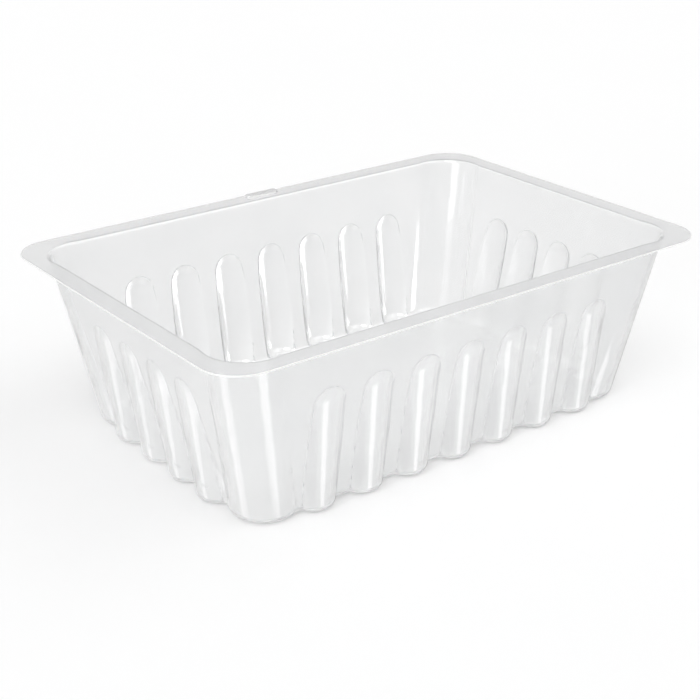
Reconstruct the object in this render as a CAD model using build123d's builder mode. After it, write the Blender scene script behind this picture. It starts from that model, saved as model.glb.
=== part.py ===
import os
from math import asin, atan, degrees, hypot, sqrt

from build123d import *

# One-piece tray formed from clear sheet
# Millimetres, +Z up, origin in the middle of the base's underside, long sides along X

# Sheet and overall size
sheet = 0.5
tray_height = 55.0
flange_length = 180.0
flange_width = 120.0
flange_corner = 12.0

# Plain walls: flat of the flange outside them, and how far they step in on the way down
flange_flat = 6.4
long_wall_step = 8.9
short_wall_step = 12.1

# Flutes: tapered columns that stand out of the walls and end above in a round arch
flute_head_radius = 10.0
flute_head_proud = 1.5
flute_foot_radius = 6.0
flute_foot_proud = 4.1
flute_top_drop = 15.4
long_wall_flutes = 7
long_wall_pitch = 17.0
short_wall_flutes = 4
short_wall_pitch = 15.0

# Corner posts: tapered columns that stand out of the walls beside them, most at the foot
post_head_radius = 12.0
post_head_proud = 0.2
post_foot_radius = 10.0
post_foot_proud = 1.2

# Rounding on the sheet's outer face
flute_root_radius = 0.45
post_root_radius = 2.0
base_edge_radius = 3.0
flange_root_radius = 1.0

# Pip raised on the back flange
pip_length = 12.8
pip_width = 3.2
pip_height = 0.8
pip_offset = 2.0
pip_edge_gap = 0.5
pip_rounding = 0.7

# How deep the flutes are sunk into the walls, and how far columns run on before they are trimmed
sink = 1.5
overrun = 4.0

# Sizes that follow from the ones above
long_wall_slope = long_wall_step / tray_height
short_wall_slope = short_wall_step / tray_height
base_half_length = flange_length / 2 - flange_flat - short_wall_step
base_half_width = flange_width / 2 - flange_flat - long_wall_step
arch_radius = sqrt(flute_head_radius**2 - (flute_head_radius - flute_head_proud) ** 2)
post_head_inset = post_head_radius - post_head_proud
post_foot_inset = post_foot_radius - post_foot_proud


def inset_half(half, slope, skin):
    # half size of the base where the face lies one skin under the outer face
    return half + slope * skin - skin * hypot(1, slope)


def column(head, foot, head_radius, foot_radius, skin):
    # a cone that touches a ball at the head and a smaller ball at the foot, one skin under their outer faces
    reach = (head - foot).length
    narrowing = (head_radius - foot_radius) / reach
    breadth = sqrt(1 - narrowing**2)
    ball = head_radius - skin
    heel = foot_radius - skin
    lean = degrees(asin(narrowing))
    end = -reach - heel * narrowing - overrun
    with BuildPart() as turned:
        with BuildSketch(Plane.XZ):
            with BuildLine():
                dome = CenterArc((0, 0), ball, -lean, 90 + lean)
                toe = (heel * breadth - overrun * narrowing / breadth, end)
                Polyline(dome @ 0, toe, (0, end), dome @ 1)
            make_face()
        revolve(axis=Axis.Z)
    return Plane(head, z_dir=head - foot).location * turned.part


def flute(slope, skin):
    # one flute on a wall that faces +X with its base line at the origin
    run = Vector(slope, 0, 1).normalized()
    outward = Vector(1, 0, -slope).normalized()
    arch_height = (tray_height - flute_top_drop) / run.Z - arch_radius
    head = run * arch_height + outward * (flute_head_proud - flute_head_radius)
    foot = outward * (flute_foot_proud - flute_foot_radius)
    with BuildPart() as shaped:
        add(column(head, foot, flute_head_radius, flute_foot_radius, skin))
        split(bisect_by=Plane(outward * (-sink - skin), z_dir=outward))
        split(bisect_by=Plane.XY.offset(skin))
    return shaped.part


def corner_posts(skin):
    # a post in the corner towards +X and +Y, carried on past the flange and trimmed, then mirrored
    foot = Vector(base_half_length - post_foot_inset, base_half_width - post_foot_inset)
    rise = Vector(short_wall_step, long_wall_step, tray_height)
    lean = rise - Vector(post_head_inset - post_foot_inset, post_head_inset - post_foot_inset)
    carry = 1 + overrun / tray_height
    top_radius = post_foot_radius + (post_head_radius - post_foot_radius) * carry
    with BuildPart() as shaped:
        add(column(foot + lean * carry, foot, top_radius, post_foot_radius, skin))
        split(bisect_by=Plane.XY.offset(skin))
        split(bisect_by=Plane.XY.offset(tray_height), keep=Keep.BOTTOM)
        mirror(about=Plane.XZ)
        mirror(about=Plane.YZ)
    return shaped.part


def roots(block):
    # edges where columns come out of the plain walls
    walls = block.faces().filter_by(GeomType.PLANE).filter_by(Axis.Z, reverse=True)
    columns = block.faces().filter_by(GeomType.CONE) + block.faces().filter_by(GeomType.SPHERE)
    return columns.edges().filter_by(lambda edge: edge in walls.edges())


def form(skin):
    # all that lies inside the sheet's outer face, or inside its inner face when skin is the sheet
    half_length = inset_half(base_half_length, short_wall_slope, skin)
    half_width = inset_half(base_half_width, long_wall_slope, skin)
    floor = Plane.XY.offset(skin)
    with BuildPart() as block:
        with BuildSketch(floor):
            Rectangle(2 * half_length, 2 * half_width)
        extrude(amount=tray_height - skin)
        draft(block.faces().filter_by(Axis.Y), floor, -degrees(atan(long_wall_slope)))
        draft(block.faces().filter_by(Axis.X), floor, -degrees(atan(short_wall_slope)))

        # corners cut back to make room for the posts
        chamfer(block.edges().filter_by(Plane.XY, reverse=True), post_head_inset)
        add(corner_posts(skin))
        fillet(roots(block), post_root_radius + skin)

        with PolarLocations(base_half_width, 2, start_angle=90):
            with GridLocations(0, long_wall_pitch, 1, long_wall_flutes):
                add(flute(long_wall_slope, skin))
        with PolarLocations(base_half_length, 2):
            with GridLocations(0, short_wall_pitch, 1, short_wall_flutes):
                add(flute(short_wall_slope, skin))
        fillet(roots(block), flute_root_radius + skin)
        fillet(block.faces().sort_by(Axis.Z)[0].edges(), base_edge_radius - skin)
    return block.part


def pip(skin):
    # the pip on the flange, or the hollow under it when skin is the sheet
    with BuildPart() as bump:
        with BuildSketch(Plane.XY.offset(tray_height - sheet)):
            with Locations((pip_offset, flange_width / 2 - pip_edge_gap - pip_width / 2)):
                SlotOverall(pip_length - 2 * skin, pip_width - 2 * skin)
        extrude(amount=sheet + pip_height - skin)
        fillet(bump.faces().sort_by(Axis.Z)[-1].edges(), pip_rounding - skin)
    return bump.part


with BuildPart() as tray:
    # outer form with the flange round its mouth
    add(form(0))
    with BuildSketch(Plane.XY.offset(tray_height - sheet)):
        RectangleRounded(flange_length, flange_width, flange_corner)
    extrude(amount=sheet)
    underside = tray.faces().filter_by(Axis.Z).sort_by(Axis.Z)[-2]
    fillet(underside.inner_wires()[0].edges(), flange_root_radius)

    # hollow out to the sheet's inner face and round the mouth
    add(form(sheet), mode=Mode.SUBTRACT)
    flange_top = tray.faces().filter_by(Axis.Z).sort_by(Axis.Z)[-1]
    fillet(flange_top.inner_wires()[0].edges(), flange_root_radius + sheet)

    # pip, hollow underneath like the rest of the sheet
    add(pip(0))
    add(pip(sheet), mode=Mode.SUBTRACT)

os.makedirs("parts", exist_ok=True)
tray.part.label = "tray"
export_step(tray.part, "parts/tray.step")
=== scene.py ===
import math

import bmesh
import bpy
from mathutils import Matrix, Vector


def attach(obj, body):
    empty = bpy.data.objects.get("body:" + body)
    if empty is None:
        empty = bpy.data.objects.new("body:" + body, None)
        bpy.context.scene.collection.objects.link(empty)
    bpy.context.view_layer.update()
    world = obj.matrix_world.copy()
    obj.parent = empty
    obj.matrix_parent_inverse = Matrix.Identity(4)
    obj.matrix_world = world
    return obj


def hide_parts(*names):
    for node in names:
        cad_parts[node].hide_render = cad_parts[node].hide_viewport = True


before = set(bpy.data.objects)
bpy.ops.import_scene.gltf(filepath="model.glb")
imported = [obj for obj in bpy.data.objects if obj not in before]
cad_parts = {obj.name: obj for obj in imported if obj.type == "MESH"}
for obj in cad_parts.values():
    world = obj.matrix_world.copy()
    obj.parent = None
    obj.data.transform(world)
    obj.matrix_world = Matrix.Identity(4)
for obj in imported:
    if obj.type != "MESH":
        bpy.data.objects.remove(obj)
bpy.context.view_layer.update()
scene = bpy.context.scene
print("frame loaded, nodes:", sorted(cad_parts))


def newMaterial(name):
    material = bpy.data.materials.new(name)
    material.use_nodes = True
    material.node_tree.nodes.clear()
    return material, material.node_tree


def plug(tree, value, socket):
    if isinstance(value, bpy.types.NodeSocket):
        tree.links.new(value, socket)
    else:
        socket.default_value = value


def addNode(tree, kind, settings=None, **inputs):
    node = tree.nodes.new(kind)
    for key, value in (settings or {}).items():
        setattr(node, key, value)
    for key, value in inputs.items():
        plug(tree, value, node.inputs[key.replace("_", " ")])
    return node


def addMath(tree, operation, first, second=0.0):
    node = addNode(tree, "ShaderNodeMath", {"operation": operation})
    plug(tree, first, node.inputs[0])
    plug(tree, second, node.inputs[1])
    return node.outputs[0]


def addPiece(name, shape):
    mesh = bpy.data.meshes.new(name)
    shape.to_mesh(mesh)
    shape.free()
    piece = bpy.data.objects.new(name, mesh)
    scene.collection.objects.link(piece)
    return piece


sheetOptics = {
    "refraction": 1.49,
    "coat": 0.8,
    "passing": (0.95, 0.95, 0.95, 1.0),
    "hazeFrom": 0.35,
    "hazeTo": 0.7,
}


def addSheet(tree, look, tint, gloss, normal):
    body = addNode(
        tree,
        "ShaderNodeBsdfPrincipled",
        Base_Color=tint,
        Roughness=gloss,
        IOR=sheetOptics["refraction"],
        Transmission_Weight=look["clearness"],
        Coat_Weight=sheetOptics["coat"],
        Coat_Roughness=look["coatGloss"],
        Normal=normal,
    )
    passing = addNode(tree, "ShaderNodeBsdfTransparent", Color=sheetOptics["passing"])
    ray = addNode(tree, "ShaderNodeLightPath")
    share = addMath(tree, "MULTIPLY", ray.outputs["Is Shadow Ray"], look["shadowClearness"])
    mix = addNode(tree, "ShaderNodeMixShader", Fac=share)
    tree.links.new(body.outputs[0], mix.inputs[1])
    tree.links.new(passing.outputs[0], mix.inputs[2])
    out = addNode(tree, "ShaderNodeOutputMaterial")
    tree.links.new(mix.outputs[0], out.inputs["Surface"])


def addTint(tree, noise, first, second):
    tint = addNode(tree, "ShaderNodeValToRGB", Fac=noise)
    tint.color_ramp.elements[0].position = sheetOptics["hazeFrom"]
    tint.color_ramp.elements[0].color = first
    tint.color_ramp.elements[1].position = sheetOptics["hazeTo"]
    tint.color_ramp.elements[1].color = second
    return tint.outputs["Color"]


def addGloss(tree, noise, limits):
    gloss = addNode(tree, "ShaderNodeMapRange", Value=noise)
    gloss.inputs["From Min"].default_value = sheetOptics["hazeFrom"]
    gloss.inputs["From Max"].default_value = sheetOptics["hazeTo"]
    gloss.inputs["To Min"].default_value = limits[0]
    gloss.inputs["To Max"].default_value = limits[1]
    return gloss.outputs["Result"]


sheetFinish = {
    "tint": (0.98, 0.982, 0.984, 1.0),
    "tintHazy": (0.955, 0.959, 0.963, 1.0),
    "clearness": 0.74,
    "gloss": (0.07, 0.11),
    "coatGloss": 0.05,
    "shadowClearness": 0.72,
    "cloud": {"Scale": 45.0, "Detail": 4.0, "Roughness": 0.55},
    "ripple": {"Scale": 160.0, "Detail": 2.0},
    "rippleDepth": {"Strength": 0.05, "Distance": 0.0006},
}


def clearSheet():
    material, tree = newMaterial("clearSheet")
    place = addNode(tree, "ShaderNodeTexCoord").outputs["Object"]

    # cloudy haze left by uneven cooling
    cloud = addNode(tree, "ShaderNodeTexNoise", Vector=place, **sheetFinish["cloud"])
    tint = addTint(tree, cloud.outputs["Fac"], sheetFinish["tint"], sheetFinish["tintHazy"])
    gloss = addGloss(tree, cloud.outputs["Fac"], sheetFinish["gloss"])

    # faint ripple of the drawn sheet
    ripple = addNode(tree, "ShaderNodeTexNoise", Vector=place, **sheetFinish["ripple"])
    bump = addNode(tree, "ShaderNodeBump", Height=ripple.outputs["Fac"], **sheetFinish["rippleDepth"])
    addSheet(tree, sheetFinish, tint, gloss, bump.outputs["Normal"])
    return material


# painted shade for the roots of the flutes: a darker, hazier finish than the clear sheet
creaseShadeFinish = {
    "tint": (0.78, 0.785, 0.793, 1.0),
    "tintHazy": (0.72, 0.727, 0.737, 1.0),
    "clearness": 0.6,
    "gloss": (0.1, 0.15),
    "coatGloss": 0.05,
    "shadowClearness": 0.7,
    "creaseNoise": {"Scale": 240.0, "Detail": 3.0},
    "creaseBumpDepth": {"Strength": 0.05, "Distance": 0.0004},
}


def shadedCreaseSheet():
    material, tree = newMaterial("shadedCreaseSheet")
    place = addNode(tree, "ShaderNodeTexCoord").outputs["Object"]

    # painted shade: the sheet is darker and hazier along the roots of the flutes, mottled by noise that
    # also makes a fine bump
    creaseNoise = addNode(tree, "ShaderNodeTexNoise", Vector=place, **creaseShadeFinish["creaseNoise"])
    tint = addTint(tree, creaseNoise.outputs["Fac"], creaseShadeFinish["tint"], creaseShadeFinish["tintHazy"])
    gloss = addGloss(tree, creaseNoise.outputs["Fac"], creaseShadeFinish["gloss"])
    bump = addNode(tree, "ShaderNodeBump", Height=creaseNoise.outputs["Fac"], **creaseShadeFinish["creaseBumpDepth"])
    addSheet(tree, creaseShadeFinish, tint, gloss, bump.outputs["Normal"])
    return material


edgeFinish = {
    "tint": (0.99, 0.99, 0.99, 1.0),
    "tintHazy": (0.965, 0.968, 0.971, 1.0),
    "clearness": 0.05,
    "gloss": (0.25, 0.35),
    "coatGloss": 0.1,
    "shadowClearness": 0.4,
    "marks": {"Scale": 200.0, "Detail": 2.0},
    "marksDepth": {"Strength": 0.03, "Distance": 0.0002},
}


def cutEdge():
    material, tree = newMaterial("cutEdge")
    place = addNode(tree, "ShaderNodeTexCoord").outputs["Object"]

    # uneven frosting along the trimmed edge
    marks = addNode(tree, "ShaderNodeTexNoise", Vector=place, **edgeFinish["marks"])
    tint = addTint(tree, marks.outputs["Fac"], edgeFinish["tint"], edgeFinish["tintHazy"])
    gloss = addGloss(tree, marks.outputs["Fac"], edgeFinish["gloss"])
    bump = addNode(tree, "ShaderNodeBump", Height=marks.outputs["Fac"], **edgeFinish["marksDepth"])
    addSheet(tree, edgeFinish, tint, gloss, bump.outputs["Normal"])
    return material


sheetShape = {
    "mergeWithin": 2e-6,
    "sharpAngle": 38.0,
    "edgeFrom": 0.05445,
    "edgeTo": 0.05505,
    "edgeLean": 0.2,
    "edgeRounding": 0.00016,
    "edgeSegments": 2,
    "creaseBend": 800.0,
    "creaseBelow": 0.046,
    "creaseFacing": 0.2,
    "creaseUnderside": -0.5,
    "longHalf": 0.078,
    "wideHalf": 0.05,
    "shadingWeight": 60,
}


def isCutEdge(face):
    heights = [corner.co.z for corner in face.verts]
    onEdge = min(heights) > sheetShape["edgeFrom"] and max(heights) < sheetShape["edgeTo"]
    return onEdge and abs(face.normal.z) < sheetShape["edgeLean"]


def isCrease(face):
    # tightly bent and on the outer face of a wall
    middle = face.calc_center_median()
    if middle.z > sheetShape["creaseBelow"]:
        return False
    along, across = middle.x / sheetShape["longHalf"], middle.y / sheetShape["wideHalf"]
    outward = (along, 0, 0) if abs(along) > abs(across) else (0, across, 0)
    if face.normal.dot(outward) < sheetShape["creaseFacing"]:
        return False
    if face.normal.z < sheetShape["creaseUnderside"]:
        return False
    bend = max(
        (edge.verts[0].normal - edge.verts[1].normal).length / edge.calc_length()
        for edge in face.edges
    )
    return bend > sheetShape["creaseBend"]


def roundEdge(shape):
    rim = [
        edge for edge in shape.edges
        if len(edge.link_faces) == 2
        and {face.material_index for face in edge.link_faces} == {0, 1}
    ]
    made = bmesh.ops.bevel(
        shape, geom=rim, offset=sheetShape["edgeRounding"], offset_type="OFFSET", affect="EDGES",
        segments=sheetShape["edgeSegments"], profile=0.5, material=-1, clamp_overlap=True,
    )
    for face in made["faces"]:
        face.material_index = 1
        face.smooth = True


def makeSheet():
    shape = bmesh.new()
    shape.from_mesh(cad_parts["tray"].data)
    bmesh.ops.remove_doubles(shape, verts=shape.verts, dist=sheetShape["mergeWithin"])
    limit = math.radians(sheetShape["sharpAngle"])
    for face in shape.faces:
        face.smooth = True
        face.material_index = int(isCutEdge(face))
    roundEdge(shape)
    creases = [face for face in shape.faces if isCrease(face)]
    # the crease faces take the painted-shade finish, material index 2
    for face in creases:
        face.material_index = 2
    for edge in shape.edges:
        edge.smooth = len(edge.link_faces) == 2 and edge.calc_face_angle() < limit
    openEdges = sum(1 for edge in shape.edges if len(edge.link_faces) != 2)
    sheet = addPiece("sheet", shape)
    even = sheet.modifiers.new("evenShading", "WEIGHTED_NORMAL")
    even.keep_sharp = True
    even.weight = sheetShape["shadingWeight"]
    for finish in (clearSheet(), cutEdge(), shadedCreaseSheet()):  # in the order of the material indices
        sheet.data.materials.append(finish)
    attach(sheet, "root")
    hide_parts("tray")
    print("sheet merged:", len(sheet.data.polygons), "faces,", len(creases), "on creases")
    print("open edges on the sheet:", openEdges)


makeSheet()


floorPlan = {
    "half": 4.0,
    "drop": 0.0004,
    "colour": (0.96, 0.96, 0.96, 1.0),
    "colourPale": (0.97, 0.97, 0.97, 1.0),
    "grain": {"Scale": 9.0, "Detail": 3.0},
}


def paleFloor():
    material, tree = newMaterial("paleFloor")
    place = addNode(tree, "ShaderNodeTexCoord").outputs["Object"]
    grain = addNode(tree, "ShaderNodeTexNoise", Vector=place, **floorPlan["grain"])
    tone = addNode(tree, "ShaderNodeValToRGB", Fac=grain.outputs["Fac"])
    tone.color_ramp.elements[0].color = floorPlan["colour"]
    tone.color_ramp.elements[1].color = floorPlan["colourPale"]
    matt = addNode(tree, "ShaderNodeBsdfDiffuse", Color=tone.outputs["Color"])
    out = addNode(tree, "ShaderNodeOutputMaterial")
    tree.links.new(matt.outputs[0], out.inputs["Surface"])
    return material


def makeFloor():
    shape = bmesh.new()
    bmesh.ops.create_grid(shape, x_segments=1, y_segments=1, size=floorPlan["half"])
    bmesh.ops.translate(shape, verts=shape.verts, vec=(0, 0, -floorPlan["drop"]))
    floor = addPiece("floor", shape)
    floor.data.materials.append(paleFloor())
    floor.visible_glossy = False  # gloss and clear plastic see the studio's backdrop instead
    floor.visible_transmission = False


makeFloor()


lightPlan = {
    "white": 1.0,
    "backdrop": 0.97,
    "sky": 0.55,
    "surround": 0.88,
    "sun": 1.23,
    "sunAngle": 35.0,
    "sunFrom": (-0.45, -0.35, 0.82),
    "horizon": 0.02,
    "softEdge": (0.6, 1.4),
    "boxes": [  # for the front flutes, the left ones and the back corner, then from above, then black cards
        {"azimuth": 12, "halfWidth": 9, "elevation": -36, "halfHeight": 14, "glow": 1.4},
        {"azimuth": -112, "halfWidth": 9, "elevation": -36, "halfHeight": 18, "glow": 0.9},
        {"azimuth": -69, "halfWidth": 12, "elevation": 4, "halfHeight": 22, "glow": 1.7},
        {"azimuth": 45, "halfWidth": 35, "elevation": 50, "halfHeight": 16, "glow": 0.9},
        {"azimuth": 130, "halfWidth": 16, "elevation": -33, "halfHeight": 6, "glow": -0.5},
        {"azimuth": 58, "halfWidth": 16, "elevation": 3, "halfHeight": 5, "glow": -0.5},
        {"azimuth": -45, "halfWidth": 22, "elevation": -34, "halfHeight": 8, "glow": -0.6},
    ],
    "boxesBehindPane": [  # for the hollows inside the back wall
        {"azimuth": 76, "halfWidth": 12, "elevation": -17.5, "halfHeight": 6, "glow": 9.0},
        {"azimuth": 74, "halfWidth": 14, "elevation": -30, "halfHeight": 7, "glow": 6.0},
    ],
}


def addSoftStep(tree, value, fully, notAtAll):
    step = addNode(tree, "ShaderNodeMapRange", {"interpolation_type": "SMOOTHSTEP"}, Value=value)
    step.inputs["From Min"].default_value = notAtAll
    step.inputs["From Max"].default_value = fully
    return step.outputs["Result"]


def addAny(tree, count):
    return addMath(tree, "GREATER_THAN", count, 0.5)  # 1 from the first bounce on


def addAlong(tree, direction, axis):
    node = addNode(tree, "ShaderNodeVectorMath", {"operation": "DOT_PRODUCT"})
    tree.links.new(direction, node.inputs[0])
    node.inputs[1].default_value = axis
    return node.outputs["Value"]


def addSoftbox(tree, direction, box):
    # azimuth turns from the front towards +X
    azimuth = math.radians(box["azimuth"])
    elevation = math.radians(box["elevation"])
    level = Vector((math.cos(azimuth), math.sin(azimuth), 0))
    centre = Vector((math.sin(azimuth), -math.cos(azimuth), 0)) * math.cos(elevation)
    centre.z = math.sin(elevation)
    glow = addMath(tree, "GREATER_THAN", addAlong(tree, direction, centre), 0.0)
    full, none = lightPlan["softEdge"]
    for axis, half in ((level, box["halfWidth"]), (centre.cross(level), box["halfHeight"])):
        reach = math.sin(math.radians(half))
        offset = addMath(tree, "ABSOLUTE", addAlong(tree, direction, axis))
        inside = addSoftStep(tree, offset, full * reach, none * reach)
        glow = addMath(tree, "MULTIPLY", glow, inside)
    return addMath(tree, "MULTIPLY", glow, box["glow"])


def addSoftboxes(tree, direction, boxes):
    glow = addSoftbox(tree, direction, boxes[0])
    for box in boxes[1:]:
        glow = addMath(tree, "ADD", glow, addSoftbox(tree, direction, box))
    return glow


def makeLights():
    world = bpy.data.worlds.new("studio")
    scene.world = world
    world.use_nodes = True
    tree = world.node_tree
    direction = addNode(tree, "ShaderNodeTexCoord").outputs["Generated"]
    height = addAlong(tree, direction, (0, 0, 1))
    above = addSoftStep(tree, height, lightPlan["horizon"], -lightPlan["horizon"])
    ray = addNode(tree, "ShaderNodeLightPath")
    mirrored = addAny(tree, ray.outputs["Glossy Depth"])
    glow = addSoftboxes(tree, direction, lightPlan["boxes"])
    throughSheet = addAny(tree, ray.outputs["Transmission Depth"])
    throughPane = addAny(tree, ray.outputs["Transparent Depth"])
    behind = addMath(tree, "MULTIPLY", throughSheet, throughPane)
    behindPane = addSoftboxes(tree, direction, lightPlan["boxesBehindPane"])
    inside = addMath(tree, "MULTIPLY", behind, behindPane)

    # plain white below for what is seen straight through the sheet, softboxes for what it mirrors
    seenInGloss = addMath(tree, "ADD", addMath(tree, "ADD", glow, inside), lightPlan["surround"])
    below = addNode(tree, "ShaderNodeMix", Factor=mirrored, A=lightPlan["backdrop"], B=seenInGloss)
    sky = addMath(tree, "ADD", glow, lightPlan["sky"])
    studio = addNode(tree, "ShaderNodeMix", Factor=above, A=below.outputs[0], B=sky)
    level = addNode(tree, "ShaderNodeMix", A=studio.outputs[0], B=lightPlan["white"])
    tree.links.new(ray.outputs["Is Camera Ray"], level.inputs["Factor"])
    tree.links.new(level.outputs[0], tree.nodes["Background"].inputs["Strength"])
    tree.nodes["Background"].inputs["Color"].default_value = (1, 1, 1, 1)

    lamp = bpy.data.lights.new("windowLight", "SUN")
    lamp.energy = lightPlan["sun"]
    lamp.angle = math.radians(lightPlan["sunAngle"])
    window = bpy.data.objects.new("windowLight", lamp)
    scene.collection.objects.link(window)
    window.rotation_euler = Vector(lightPlan["sunFrom"]).to_track_quat("Z", "Y").to_euler()


makeLights()


panePlan = {
    "middle": (0.115, 0.006, -0.035),
    "half": (0.085, 0.044, 1.0),  # up and across, before it is turned upright
}


def clearPane():
    material, tree = newMaterial("clearPane")
    passing = addNode(tree, "ShaderNodeBsdfTransparent")
    out = addNode(tree, "ShaderNodeOutputMaterial")
    tree.links.new(passing.outputs[0], out.inputs["Surface"])
    return material


def makePane():
    # marks light that leaves past the right wall, so the front flutes don't mirror the boxes behind it
    shape = bmesh.new()
    bmesh.ops.create_grid(shape, x_segments=1, y_segments=1, size=1.0)
    bmesh.ops.scale(shape, verts=shape.verts, vec=panePlan["half"])
    bmesh.ops.rotate(shape, verts=shape.verts, matrix=Matrix.Rotation(math.radians(90), 3, "Y"))
    bmesh.ops.translate(shape, verts=shape.verts, vec=panePlan["middle"])
    pane = addPiece("pane", shape)
    pane.data.materials.append(clearPane())
    pane.visible_camera = False
    pane.visible_diffuse = False
    pane.visible_shadow = False


makePane()


cameraPlan = {
    "sensor": 36.0,
    "nearest": 0.01,
    "azimuth": -38.023,
    "elevation": 24.075,
    "roll": -0.322,
    "lens": 72.966,
    "distance": 0.436514,
    "right": -0.004057,
    "up": -0.033359,
    "rimHeight": 0.055,
}


def makeCamera():
    data = bpy.data.cameras.new("camera")
    data.sensor_width = cameraPlan["sensor"]
    data.lens = cameraPlan["lens"]
    data.clip_start = cameraPlan["nearest"]
    camera = bpy.data.objects.new("camera", data)
    scene.collection.objects.link(camera)
    azimuth = math.radians(cameraPlan["azimuth"])
    elevation = math.radians(cameraPlan["elevation"])
    roll = math.radians(cameraPlan["roll"])
    back = Vector((
        math.sin(azimuth) * math.cos(elevation),
        -math.cos(azimuth) * math.cos(elevation),
        math.sin(elevation),
    ))
    level = Vector((math.cos(azimuth), math.sin(azimuth), 0))
    upright = back.cross(level)
    right = level * math.cos(roll) - upright * math.sin(roll)
    up = level * math.sin(roll) + upright * math.cos(roll)
    place = Vector((0, 0, cameraPlan["rimHeight"])) + back * cameraPlan["distance"]
    place += right * cameraPlan["right"] + up * cameraPlan["up"]
    turn = Matrix((right, up, back)).transposed().to_4x4()
    camera.matrix_world = Matrix.Translation(place) @ turn
    scene.camera = camera


makeCamera()

bouncePlan = {"all": 24, "throughSheet": 24, "inShadow": 32}  # the sheet is crossed many times

scene.view_settings.view_transform = "Standard"
scene.cycles.max_bounces = bouncePlan["all"]
scene.cycles.transmission_bounces = bouncePlan["throughSheet"]
scene.cycles.transparent_max_bounces = bouncePlan["inShadow"]
print("stage, lights and camera placed")
